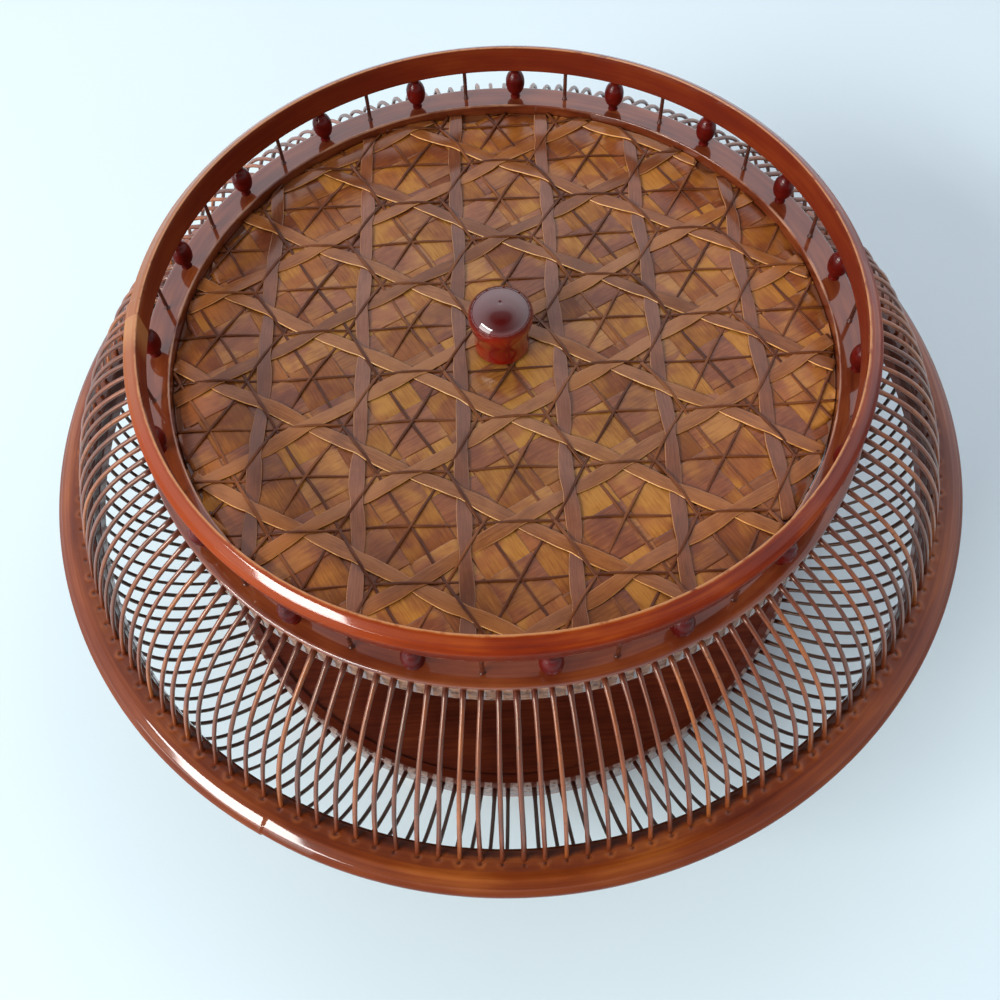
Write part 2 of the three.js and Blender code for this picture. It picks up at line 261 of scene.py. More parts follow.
def wobble(angles, seed, amount):
    """Slow unevenness round a hoop."""
    rng = np.random.default_rng(seed)
    total = np.zeros_like(angles)
    for order in (2, 3, 5, 9, 14):
        total += rng.normal() / order * np.sin(order * angles + rng.uniform(0, TAU))
    return amount * total


def grid_quads(rows, columns, rows_closed=True, columns_closed=True, first=0):
    """Quads of a grid of points, which may close along each of its directions."""
    row, k = np.indices((rows - (not rows_closed), columns - (not columns_closed))).reshape(2, -1)
    next_row = (row + 1) % rows * columns
    next_k = (k + 1) % columns
    row = row * columns
    return first + np.stack([row + k, next_row + k, next_row + next_k, row + next_k], 1)


def rod_faces(rings, around, first, flipped=False):
    """Sides and ends of a closed rod, made of rings of points that start at an index."""
    sides = grid_quads(rings, around, rows_closed=False, first=first)
    start = list(range(first, first + around))
    end = [i + (rings - 1) * around for i in start]
    if flipped:
        return sides.tolist() + [start, end[::-1]]
    return sides[:, [0, 3, 2, 1]].tolist() + [start[::-1], end]


def hoop(name, points, segments, seed, shift=None, uneven=0.12 * MM):
    """Hoop turned round the axis. shift(radius, height, turn) moves its points, and gives
    the attributes pit and lip."""
    angles = np.arange(segments) * TAU / segments
    turn, radius = np.meshgrid(angles, points[:, 0], indexing="ij")
    height = np.repeat(points[None, :, 1], segments, 0)
    marks = {}
    if shift:
        radius, height, marks = shift(radius, height, turn)
    radius = radius + wobble(angles, seed, uneven)[:, None]
    height = height + wobble(angles, seed + 1, 0.5 * uneven)[:, None]
    vertices = np.stack([radius * np.cos(turn), radius * np.sin(turn), height], -1).reshape(-1, 3)
    faces = grid_quads(segments, len(points)).tolist()
    return add_piece(name, vertices, faces, {key: values.ravel() for key, values in marks.items()})


def turned(name, profile, segments, centre=(0, 0)):
    """Solid of revolution. The profile runs from the axis at the bottom to the axis on top."""
    (_, low), *rings, (_, high) = profile
    count = len(rings)
    radius, height = np.array(rings, float).T
    turn = (np.arange(segments) * TAU / segments)[:, None]
    grid = [radius * np.cos(turn), radius * np.sin(turn), height + 0 * turn]
    vertices = np.vstack([np.stack(grid, -1).reshape(-1, 3), [[0, 0, low], [0, 0, high]]])
    faces = grid_quads(segments, count, columns_closed=False).tolist()
    low_pole = segments * count
    for s in range(segments):
        after = (s + 1) % segments
        faces.append([low_pole, after * count, s * count])
        faces.append([low_pole + 1, s * count + count - 1, after * count + count - 1])
    return add_piece(name, vertices + (*centre, 0), faces)


def arc(centre, radius, start, end, steps):
    """Points of a circle's arc between two angles in degrees."""
    angles = np.radians(np.linspace(start, end, steps + 1))
    return [(centre[0] + radius * math.cos(a), centre[1] + radius * math.sin(a)) for a in angles]


# Material making

class Nodes:
    """A node tree, written by small calls."""

    def __init__(self, tree):
        self.tree = tree

    def add(self, kind, settings=None, *values, **named):
        """New node, with its settings and the values of its first and of its named inputs."""
        node = self.tree.nodes.new(kind)
        for key, value in (settings or {}).items():
            setattr(node, key, value)
        for key, value in (*enumerate(values), *named.items()):
            self.feed(node.inputs[key], value)
        return node

    def feed(self, socket, value):
        if value is None:
            return
        if isinstance(value, bpy.types.NodeSocket):
            self.tree.links.new(value, socket)
        elif socket.type == "RGBA":
            socket.default_value = (*value[:3], 1)
        else:
            socket.default_value = value

    def math(self, operation, first, second=0.0):
        return self.add("ShaderNodeMath", {"operation": operation}, first, second).outputs[0]

    def vector_math(self, operation, first, second=None, output=0):
        node = self.add("ShaderNodeVectorMath", {"operation": operation}, first, second)
        return node.outputs[output]

    def ramp(self, value, places, colours):
        node = self.add("ShaderNodeValToRGB", Fac=value)
        elements = node.color_ramp.elements
        while len(elements) < len(places):
            elements.new(0.5)
        for element, place, colour in zip(elements, places, colours):
            element.position = place
            element.color = (*colour, 1)
        return node.outputs["Color"]

    def span(self, value, low, high, to_low=0.0, to_high=1.0):
        """Value moved from one range into another, and kept inside it."""
        node = self.add("ShaderNodeMapRange", {"clamp": True}, value, low, high, to_low, to_high)
        return node.outputs[0]


class Shader(Nodes):
    """A material with a Principled surface, whose colour grows mark by mark."""

    def __init__(self, name):
        self.material = bpy.data.materials.new(name)
        self.material.use_nodes = True
        super().__init__(self.material.node_tree)
        self.surface = self.tree.nodes["Principled BSDF"]
        self.place = self.add("ShaderNodeTexCoord").outputs["Object"]

    def blend(self, shares):
        """Weighted sum of values."""
        total = None
        for value, weight in shares:
            part = self.math("MULTIPLY", value, weight)
            total = part if total is None else self.math("ADD", total, part)
        return total

    def product(self, *values):
        total = values[0]
        for value in values[1:]:
            total = self.math("MULTIPLY", total, value)
        return total

    def attribute(self, name, output="Fac"):
        return self.add("ShaderNodeAttribute", {"attribute_name": name}).outputs[output]

    def noise(self, vector, scale, detail=3.0, roughness=0.55, w=None, distortion=0.0):
        settings = {"noise_dimensions": "4D" if w else "3D"}
        node = self.add(
            "ShaderNodeTexNoise", settings, vector, w, Scale=scale, Detail=detail,
            Roughness=roughness, Distortion=distortion,
        )
        return node.outputs["Fac"]

    def streaks(self, vector, scales, detail=3.0, roughness=0.55):
        """Noise with a scale of its own along each direction."""
        return self.noise(self.vector_math("MULTIPLY", vector, scales), 1.0, detail, roughness)

    def mix(self, share, first, second, blend="MIX"):
        node = self.add("ShaderNodeMix", {"data_type": "RGBA", "blend_type": blend}, Factor=share)
        self.feed(node.inputs[6], first)
        self.feed(node.inputs[7], second)
        return node.outputs[2]

    def ground(self, shares, places, tones):
        """First colour: tones at their places along a weighted sum of values."""
        self.colour = self.ramp(self.blend(shares), places, tones)

    def paint(self, share, colour):
        """Lays a colour over the colour so far."""
        self.colour = self.mix(share, self.colour, colour)

    def finish(self, roughness, height, bump=0.3, depth=0.1 * MM):
        """Joins the colour, roughness and surface height to the surface."""
        self.feed(self.surface.inputs["Base Color"], self.colour)
        self.feed(self.surface.inputs["Roughness"], roughness)
        node = self.add("ShaderNodeBump", Strength=bump, Distance=depth, Height=height)
        self.feed(self.surface.inputs["Normal"], node.outputs["Normal"])
        return self.material

    def lacquer(self, weight=1.0, roughness=0.06, ior=1.45, under=0.06):
        """Clear glossy coat, the same all over the piece, over a surface of little gloss."""
        names = ("Specular IOR Level", "Coat Weight", "Coat Roughness", "Coat IOR")
        for key, value in zip(names, (under, weight, roughness, ior)):
            self.surface.inputs[key].default_value = value

    def coat_by_level(self, edge, near, far, below, above=1.0):
        """Coat that grows between two heights above a level, in millimetres."""
        self.feed(self.surface.inputs["Coat Weight"], self.upward(edge, near, far, below, above))

    def round_place(self):
        """Radius, level and azimuth of the point shaded, and its direction from the axis."""
        flat = self.vector_math("MULTIPLY", self.place, (1, 1, 0))
        split = self.add("ShaderNodeSeparateXYZ", Vector=self.place)
        self.radius = self.vector_math("LENGTH", flat, output="Value")
        self.level = split.outputs["Z"]
        self.azimuth = self.math("ARCTAN2", split.outputs["Y"], split.outputs["X"])
        self.ray = self.vector_math("NORMALIZE", flat)

    def outward(self, edge, near, far, at_near=0.0, at_far=1.0):
        """Share that changes between two distances outward of a radius, in millimetres."""
        return self.span(self.radius, edge + near * MM, edge + far * MM, at_near, at_far)

    def upward(self, edge, near, far, at_near=0.0, at_far=1.0):
        """Share that changes between two heights above a level, in millimetres."""
        return self.span(self.level, edge + near * MM, edge + far * MM, at_near, at_far)

    def facing(self, direction, low, high, most):
        """Share that grows as the point's side of the basket turns to a direction."""
        turn = self.vector_math("DOT_PRODUCT", self.ray, direction, "Value")
        return self.span(turn, low, high, 0.0, most)

    def hoop_noise(self, around, across, detail=4.0, roughness=0.6):
        """Noise that changes slowly round the axis and quickly across the hoop."""
        turned_part = self.vector_math("MULTIPLY", self.ray, (around, around, 0))
        joined = self.add("ShaderNodeCombineXYZ", Z=self.math("MULTIPLY", self.radius, across))
        vector = self.vector_math("ADD", turned_part, joined.outputs[0])
        w = self.math("MULTIPLY", self.level, across)
        return self.noise(vector, 1.0, detail, roughness, w)

    def ragged(self, scale, amount):
        """Noise from minus to plus an amount in millimetres, for uneven borders."""
        return self.span(self.noise(self.place, scale, 3.0), 0.3, 0.7, -amount * MM, amount * MM)

    def chips(self, scale, low, high):
        return self.span(self.noise(self.place, scale, 3.0), low, high)

    def wear(self, radius, level, width, ragged, chips, share, colour):
        """Paints chips along the corner at a radius and level, up to a width in millimetres."""
        out = self.math("SUBTRACT", self.radius, radius)
        up = self.math("SUBTRACT", self.level, level)
        square = self.math("ADD", self.math("MULTIPLY", out, out), self.math("MULTIPLY", up, up))
        distance = self.math("ADD", self.math("SQRT", square), self.ragged(*ragged))
        near = self.span(distance, 0.75 * width * MM, 1.05 * width * MM, 1.0, 0.0)
        self.paint(self.product(near, self.chips(*chips), share), colour)


def hoop_shader(name, tones, coat_roughness=0.05, ior=1.45):
    """Lacquered bamboo with grain along the hoop and slow clouds, ready for its marks."""
    shader = Shader(name)
    shader.round_place()
    shader.grain = shader.hoop_noise(2.2, 900)
    cloud = shader.hoop_noise(5.0, 160, 3.0, 0.5)
    shader.ground([(shader.grain, 0.4), (cloud, 0.6)], (0.32, 0.5, 0.68), tones)
    shader.lacquer(1.0, coat_roughness, ior)
    return shader


def hoop_finish(shader, bump=0.12):
    rough = shader.span(shader.grain, 0.3, 0.7, 0.5, 0.32)
    dust = shader.noise(shader.place, 420, 4.0, 0.7)
    return shader.finish(rough, shader.blend([(shader.grain, 0.6), (dust, 0.4)]), bump)


def top_hoop_material():
    """Orange-red hoop, with painted shade on its inner face, painted window light on its front-left side
    and a paler colour towards the left and back, worn to bare bamboo along its inner edge.
    """
    ring = node_ring("top_hoop")
    shader = hoop_shader("top_hoop_lacquer", TOP_HOOP_TONES)
    # Painted shade: the hoop's inner face is painted darker
    shader.paint(shader.outward(ring.inner, 0.1, 0.4, 0.65, 0.0), (0.11, 0.016, 0.008))
    on_face = shader.outward(ring.inner, 0.0, 1.0)
    # Painted light: the outer face on the front left, towards the window, is painted a brighter orange
    window_lit_side = shader.facing((-0.87, -0.5, 0.0), 0.55, 0.9, 0.7)
    lower = shader.upward(ring.high, -6.0, -2.6, 0.8, 0.0)
    # Paler colour on the outer face towards the left and back
    paler_left_back = shader.facing((-0.906, 0.423, 0.0), 0.66, 0.92, 0.8)
    shader.paint(shader.product(window_lit_side, on_face), (0.29, 0.044, 0.003))
    shader.paint(shader.product(lower, on_face), (0.1, 0.008, 0.0015))
    shader.paint(shader.product(paler_left_back, on_face), (0.31, 0.11, 0.026))
    from_scarf = shader.math("SUBTRACT", shader.azimuth, TOP_SCARF - TAU)
    lap = shader.product(shader.span(from_scarf, 0.0, 0.01), shader.span(from_scarf, 0.1, 0.17, 0.5, 0.0))
    shader.paint(lap, (0.5, 0.24, 0.08))
    reach = shader.math("ADD", shader.radius, shader.ragged(200, 0.15))
    line = shader.product(
        shader.span(reach, ring.inner + 0.4 * MM, ring.inner + 0.8 * MM, 1.0, 0.0),
        shader.upward(ring.high, -0.4, -0.15), shader.chips(240, 0.3, 0.45), 0.85,
    )
    shader.paint(line, (0.5, 0.22, 0.08))
    corner = ring.outer - TOP_HOOP_TAPER
    # Pale chips along the lower outer corner: partly wear, partly a painted reflection of the bright
    # floor between the ribs
    shader.wear(corner, ring.low, 0.7, (400, 0.2), (170, 0.48, 0.56), 0.8, (0.55, 0.33, 0.2))
    shader.coat_by_level(ring.high, -1.75, -1.4, 0.06)
    return hoop_finish(shader)


def rim_material():
    """Deep orange-brown hoop, darker outwards, with painted shade along its inner edge under the ribs,
    and pits and lighter lips at the ribs, the pits dark with pooled lacquer and painted shade.
    """
    ring = node_ring("rim_upper_hoop")
    outer = ring.outer + RIM_PROUD
    shader = hoop_shader("rim_lacquer", RIM_TONES)
    shader.paint(shader.outward(outer, -3.5, -0.5, 0.0, 0.5), (0.12, 0.018, 0.003))
    # Painted shade: darker along the inner edge, under the leaning ribs
    reach = shader.math("ADD", shader.radius, shader.ragged(260, 0.5))
    painted_shade_inside_ribs = shader.span(reach, rib_circle() - 1.5 * MM, rib_circle() - 0.2 * MM, 0.85, 0.0)
    shader.paint(painted_shade_inside_ribs, (0.05, 0.011, 0.004))
    lip = shader.product(shader.attribute("lip"), shader.chips(380, 0.25, 0.55))
    shader.paint(lip, (0.38, 0.105, 0.022))
    shader.wear(outer, ring.low, 0.9, (300, 0.3), (120, 0.42, 0.6), 0.7, (0.42, 0.2, 0.11))
    # Pits: dark lacquer pooled in each rib's hole, with painted shade in it
    shader.paint(shader.attribute("pit"), (0.012, 0.004, 0.003))
    shader.coat_by_level(ring.high, -2.1, -1.4, 0.3)
    return hoop_finish(shader)


def low_hoop_material(name, node):
    """Brown hoop of the rim's lower half, foot or lid, rubbed pale along its lower edge."""
    ring = node_ring(node)
    shader = hoop_shader(name, LOW_HOOP_TONES, 0.09)
    shader.wear(ring.outer, ring.low, 1.3, (260, 0.35), (110, 0.38, 0.6), 0.75, (0.42, 0.24, 0.15))
    return hoop_finish(shader, 0.2)


def ring_material(name, node, tones, ior, band, pale_tones):
    """Dark red ring with a pale worn band outside, crossed by a lacquer cap at each rib. The
    band is its distance from the underside and from the top, and its depth, in millimetres."""
    ring = node_ring(node)
    low, high, depth = band
    shader = hoop_shader(name, tones, ior=ior)
    shader.wear(ring.inner, ring.high, 0.6, (300, 0.15), (60, 0.4, 0.6), 0.75, (0.45, 0.22, 0.12))
    turn = shader.math("FRACT", shader.math("MULTIPLY", shader.azimuth, 1 / RIB_STEP))
    off_rib = shader.math("ABSOLUTE", shader.math("SUBTRACT", turn, 0.5))
    off_rib = shader.math("MULTIPLY", off_rib, RIB_STEP * ring.outer)
    off_rib = shader.math("ADD", off_rib, shader.ragged(500, 0.12))
    worn = shader.product(
        shader.outward(ring.outer, -depth, 0.3 - depth),
        shader.upward(ring.low, low, low + 0.5),
        shader.upward(ring.high, -high - 0.4, -high, 1.0, 0.0),
        shader.span(off_rib, 0.8 * MM, 1.1 * MM, 0.12, 1.0),
    )
    grime = shader.noise(shader.place, 520, 4.0, 0.65)
    shader.paint(worn, shader.ramp(grime, (0.34, 0.45, 0.7), pale_tones))
    coat = shader.math("SUBTRACT", 1.0, shader.product(worn, 0.85))
    shader.feed(shader.surface.inputs["Coat Weight"], coat)
    return hoop_finish(shader)


def rib_material(name, tones, ior):
    """Split bamboo rod, with tint from rod to rod, fine fibres along it and lacquered ends."""
    shader = Shader(name)
    grain = shader.attribute("grain", "Vector")
    fibre = shader.streaks(grain, (120, 3200, 1))
    cloud = shader.streaks(grain, (60, 0, 3.7))
    shares = [(fibre, 0.3), (cloud, 0.45), (shader.attribute("tint"), 0.25)]
    shader.ground(shares, (0.32, 0.5, 0.68), tones)
    shader.paint(shader.product(shader.chips(900, 0.6, 0.68), 0.7), (0.02, 0.006, 0.004))
    shader.paint(shader.attribute("stain"), (0.075, 0.009, 0.005))
    shader.lacquer(0.5, 0.17, ior, 0.7)
    shader.surface.inputs["Specular Tint"].default_value = RIB_GLOSS_TINT
    return shader.finish(shader.span(fibre, 0.3, 0.7, 0.5, 0.38), fibre, 0.15, 0.05 * MM)


def board_material():
    """Dark lacquered board, with straight grain and rubbed patches."""
    shader = Shader("board_lacquer")
    grain = shader.streaks(shader.place, (30, 900, 200), 4.0)
    cloud = shader.noise(shader.place, 55, 4.0)
    shader.ground([(grain, 0.5), (cloud, 0.5)], (0.35, 0.5, 0.65), BOARD_TONES)
    shader.lacquer(0.2, 0.3)
    return shader.finish(shader.span(cloud, 0.3, 0.7, 0.6, 0.45), grain, 0.2)


def gloss_material(name, tones, coat_roughness, ior=1.7, shade=None, shaded_crown=None):
    """Turned wood under a deep red gloss, with turning lines and slow cloudiness. Shade gives the
    levels where the coat grows, and the crown levels where the top gets painted shade."""
    shader = Shader(name)
    cloud = shader.noise(shader.place, 160, 4.0, 0.6)
    lines = shader.streaks(shader.place, (60, 60, 2600))
    shader.ground([(cloud, 0.65), (lines, 0.35)], (0.36, 0.66), tones)
    shader.lacquer(1.0, coat_roughness, ior)
    shader.round_place()
    if shaded_crown:
        # Painted shade: the top of the dome is painted darker
        shader.paint(shader.upward(*shaded_crown), (0.065, 0.003, 0.002))
    if shade:
        shader.coat_by_level(*shade, 0.08, 0.5)
    return shader.finish(shader.span(cloud, 0.3, 0.7, 0.4, 0.28), lines, 0.05)


def strip_material(name, tones, cut_edge, edge_share, fibre_scale, coat, coat_roughness, patch=None):
    """Flat woven strip, with fibres along it, cut edges and tone from strip to strip."""
    shader = Shader(name)
    shader.round_place()
    fibre = shader.streaks(shader.attribute("grain", "Vector"), (150, fibre_scale, 31), 4.0, 0.65)
    cloud = shader.noise(shader.place, 95, 4.0, 0.55, distortion=0.3)
    tone = shader.blend([(fibre, 0.4), (cloud, 0.4), (shader.attribute("tint"), 0.2)])
    places = (0.38, 0.5, 0.62)
    shader.colour = shader.ramp(tone, places, tones)
    if patch:
        share = shader.span(shader.noise(shader.place, 85, 2.0), 0.46, 0.56, 0.0, 0.8)
        shader.paint(share, shader.ramp(tone, places, patch))
    chips = shader.span(shader.noise(shader.place, 260, 3.0), 0.34, 0.56, 0.35, 1.0)
    # Edge colour on the cut edges, by the edge shares: in the upper weave the pale bamboo core with
    # painted light on edges facing the window, in the mat painted shade
    shader.paint(shader.product(shader.attribute("edge"), edge_share, chips), cut_edge)
    # Painted light: brighter, warmer colour towards the lid's edge, against the hoop's shade
    lit_edge_colour = shader.mix(1.0, shader.colour, LID_EDGE_PAINTED_LIGHT, "MULTIPLY")
    shader.paint(shader.outward(0.0, 50, 84, 0.0, 0.8), lit_edge_colour)
    # Painted shade: dark at the foot of each strip's sides, where it meets what lies under it
    shader.paint(shader.attribute("foot"), (0.02, 0.007, 0.004))
    shader.lacquer(coat, coat_roughness, 1.5, 0.05)
    height = shader.blend([(fibre, 0.6), (cloud, 0.4)])
    return shader.finish(shader.span(fibre, 0.3, 0.7, 0.6, 0.42), height, 0.65)


def floor_material():
    """Pale painted floor with a very faint unevenness."""
    shader = Shader("floor_paint")
    cloud = shader.noise(shader.place, 3.0, 3.0)
    shader.colour = shader.ramp(cloud, (0.3, 0.7), FLOOR_TONES)
    return shader.finish(shader.span(cloud, 0.3, 0.7, 0.6, 0.7), cloud, 0.02)


# Setting

def aimed(aim, distance, azimuth, elevation, roll=0):
    """Matrix of a thing that looks at a point from a distance, with angles in degrees."""
    turn = Matrix.Rotation(math.radians(azimuth + 90), 4, "Z")
    turn = turn @ Matrix.Rotation(math.radians(90 - elevation), 4, "X")
    turn = turn @ Matrix.Rotation(math.radians(roll), 4, "Z")
    return Matrix.Translation(aim) @ turn @ Matrix.Translation((0, 0, distance))


def make_camera():
    data = bpy.data.cameras.new("camera")
    data.lens = CAMERA_LENS
    data.sensor_width = CAMERA_SENSOR
    data.sensor_fit = "HORIZONTAL"
    data.clip_start = 0.01
    camera = add_object("camera", data)
    camera.matrix_world = aimed(CAMERA_AIM, CAMERA_DISTANCE, FRONT_AZIMUTH, CAMERA_ELEVATION, CAMERA_ROLL)
    bpy.context.scene.camera = camera


def make_floor():
    size = FLOOR_HALF
    corners = [(-size, -size, 0), (size, -size, 0), (size, size, 0), (-size, size, 0)]
    floor = add_piece("floor", corners, [[0, 1, 2, 3]])
    floor.data.materials.append(floor_material())


def make_window(name):
    """Soft window light from the front left."""
    elevation, tall, power = WINDOWS[name]
    data = bpy.data.lights.new(name, "AREA")
    data.shape = "RECTANGLE"
    data.size = WINDOW_WIDTH
    data.size_y = tall
    data.energy = power
    data.color = WINDOW_COLOUR
    light = add_object(name, data)
    light.matrix_world = aimed(WINDOW_AIM, WINDOW_DISTANCE, WINDOW_AZIMUTH, elevation)


def make_room():
    """Pale room, brightest low down behind the basket and dark overhead."""
    world = bpy.data.worlds.new("room")
    bpy.context.scene.world = world
    world.use_nodes = True
    nodes = Nodes(world.node_tree)
    ray = nodes.add("ShaderNodeTexCoord").outputs["Generated"]
    height = nodes.add("ShaderNodeSeparateXYZ", Vector=ray).outputs["Z"]
    places, greys = zip(*SKY_STOPS)
    level = nodes.ramp(height, places, [(grey, grey, grey) for grey in greys])
    unit = nodes.vector_math("NORMALIZE", nodes.vector_math("MULTIPLY", ray, (1, 1, 0)))
    side = nodes.vector_math("DOT_PRODUCT", unit, SKY_BRIGHT_SIDE, "Value")
    swing = nodes.span(height, 0.0, SKY_SWING_FULL, 0.0, SKY_SWING * SKY_STRENGTH)
    strength = nodes.math("ADD", nodes.math("MULTIPLY", side, swing), SKY_MIDDLE * SKY_STRENGTH)
    background = nodes.tree.nodes["Background"]
    nodes.feed(background.inputs["Color"], SKY_COLOUR)
    nodes.feed(background.inputs["Strength"], nodes.math("MULTIPLY", level, strength))
    backdrop = nodes.add("ShaderNodeBackground", Color=BACKDROP_COLOUR)
    seen = nodes.add("ShaderNodeLightPath").outputs["Is Camera Ray"]
    choice = nodes.add("ShaderNodeMixShader", {}, seen, background.outputs[0], backdrop.outputs[0])
    nodes.feed(nodes.tree.nodes["World Output"].inputs["Surface"], choice.outputs[0])
    bpy.context.scene.view_settings.view_transform = "Standard"


# Base

def make_base():
    outline = plain_outline(node_ring("foot_hoop"), (0.8, 0.8, 0.6, 0.4))
    piece = hoop("foot", outline, FINE_SEGMENTS, 11, uneven=0.0)
    dress(piece, "basket", ["foot_hoop"], [low_hoop_material("foot_lacquer", "foot_hoop")])

    ring = node_ring("base_hoop")
    board = node_ring("base_board")
    ledge = board.low - 0.3 * MM
    bore = board.outer + 0.03 * MM
    outline = rounded_outline([
        (ring.inner, ring.low, 0.4),
        (ring.outer, ring.low, 0.8),
        (ring.outer, ring.high - 0.05 * MM, 1.1),
        (bore, ring.high - 0.05 * MM, 0.12),
        (bore, ledge, 0.05),
        (ring.inner, ledge, 0.4),
    ])
    piece = hoop("base_ring", outline, FINE_SEGMENTS, 13)
    finish = ring_material("base_ring_lacquer", "base_hoop", BOARD_TONES, 1.4, BASE_BAND, BASE_BAND_TONES)
    dress(piece, "basket", ["base_hoop"], [finish])

    rounding = 0.12 * MM
    lip = board.outer + 1.0 * MM
    lip_low = board.high - 0.3 * MM
    spokes = [board.outer * k / 12 for k in range(1, 12)]
    points = [(0, board.low)] + [(radius, board.low) for radius in spokes]
    points += arc((board.outer - rounding, board.low + rounding), rounding, -90, 0, 4)
    points += [(board.outer, lip_low), (lip, lip_low)]
    points += arc((lip - rounding, board.high - rounding), rounding, 0, 90, 4)
    points += [(radius, board.high) for radius in reversed(spokes)] + [(0, board.high)]
    piece = turned("board", points, FINE_SEGMENTS)
    dress(piece, "basket", ["base_board"], [board_material()])


# Rim

def rim_shift(rib_circle, top, seed):
    """Small pits with raised lips where the ribs go into the rim, and the scarf's step."""
    rng = np.random.default_rng(seed)
    lip_size = np.minimum(rng.gamma(1.6, 0.45, RIB_COUNT), 1.3)
    turn_noise = rng.normal(0, 0.02, RIB_COUNT)
    aside = rng.normal(0.1 * MM, 0.2 * MM, RIB_COUNT)
    outside = rng.normal(0.75 * MM, 0.15 * MM, RIB_COUNT)

    def shift(radius, height, turn):
        place = turn / RIB_STEP - 0.5
        index = np.round(place).astype(int) % RIB_COUNT
        along = (place - np.round(place) + turn_noise[index]) * RIB_STEP * rib_circle
        out = radius - rib_circle
        distance = np.hypot(along, out * 0.8)
        hole = np.exp(-((np.hypot(along - aside[index], out - outside[index]) / (0.4 * MM)) ** 2))
        on_top = (height > top - 0.3 * MM).astype(float)
        outer_half = np.clip((out - 0.1 * MM) / (0.7 * MM), 0, 1)
        ring = np.exp(-(((distance - 1.45 * MM) / (0.4 * MM)) ** 2)) * outer_half
        raised = 0.1 * MM * lip_size[index] * ring
        trough = -0.18 * MM * np.exp(-(((out + 0.9 * MM) / (2.2 * MM)) ** 2))
        inner_slope = -0.25 * MM * np.clip(-out / (3 * MM) - 0.3, 0, 1)
        moved = height + on_top * (raised - 0.35 * MM * hole + trough + inner_slope)
        from_scarf = (turn - RIM_SCARF) % TAU
        step = 0.35 * MM * np.exp(-from_scarf / 0.12) * (radius > rib_circle + 4 * MM)
        lip = np.clip(ring * on_top * lip_size[index] * 0.5, 0, 1)
        return radius - step, moved, {"pit": np.clip(hole, 0, 1) * on_top, "lip": lip}

    return shift


def make_rim():
    upper = node_ring("rim_upper_hoop")
    outer = upper.outer + RIM_PROUD
    outline = rounded_outline([
        (upper.inner, upper.low, 0.4),
        (outer, upper.low, 0.9),
        (outer, upper.high - 3.2 * MM, 1.4),
        (outer - 1.8 * MM, upper.high - 1.5 * MM, 1.0),
        (outer - 4.3 * MM, upper.high - 0.3 * MM, 1.5),
        (outer - 6.0 * MM, upper.high, 2.0),
        (upper.inner, upper.high, 0.8),
    ])
    outline = split_top(outline, 0.42 * MM, rib_circle() - 3 * MM, rib_circle() + 2.6 * MM)
    shift = rim_shift(rib_circle(), upper.high, 5)
    piece = hoop("rim_upper", outline, RIB_COUNT * RIM_STEPS_PER_RIB, 21, shift)
    dress(piece, "basket", ["rim_upper_hoop"], [rim_material()])

    outline = plain_outline(node_ring("rim_lower_hoop"), (0.7, 2.0, 0.9, 0.4), 5)
    piece = hoop("rim_lower", outline, FINE_SEGMENTS * 2, 23)
    finish = low_hoop_material("rim_lower_lacquer", "rim_lower_hoop")
    dress(piece, "basket", ["rim_lower_hoop"], [finish])


# Ribs

def bezier(points, steps):
    """Points of a cubic curve at even steps."""
    t = np.linspace(0, 1, steps + 1)[:, None]
    a, b, c, d = (np.array(p) for p in points)
    return (1 - t) ** 3 * a + 3 * t * (1 - t) ** 2 * b + 3 * t * t * (1 - t) * c + t ** 3 * d


def rib_line(form, root, end, up):
    """Middle line of a rib as (radius, height), from its root to its end."""
    lean = math.radians(form["lean"])
    slope = math.radians(form["end_slope"])
    reach = form["reach"] * MM
    end_reach = form["end_reach"] * MM
    first = (root[0] - reach * math.cos(lean), root[1] + up * reach * math.sin(lean))
    last = (end[0] + end_reach * math.cos(slope), end[1] - up * end_reach * math.sin(slope))
    return bezier((root, first, last, end), form["steps"])


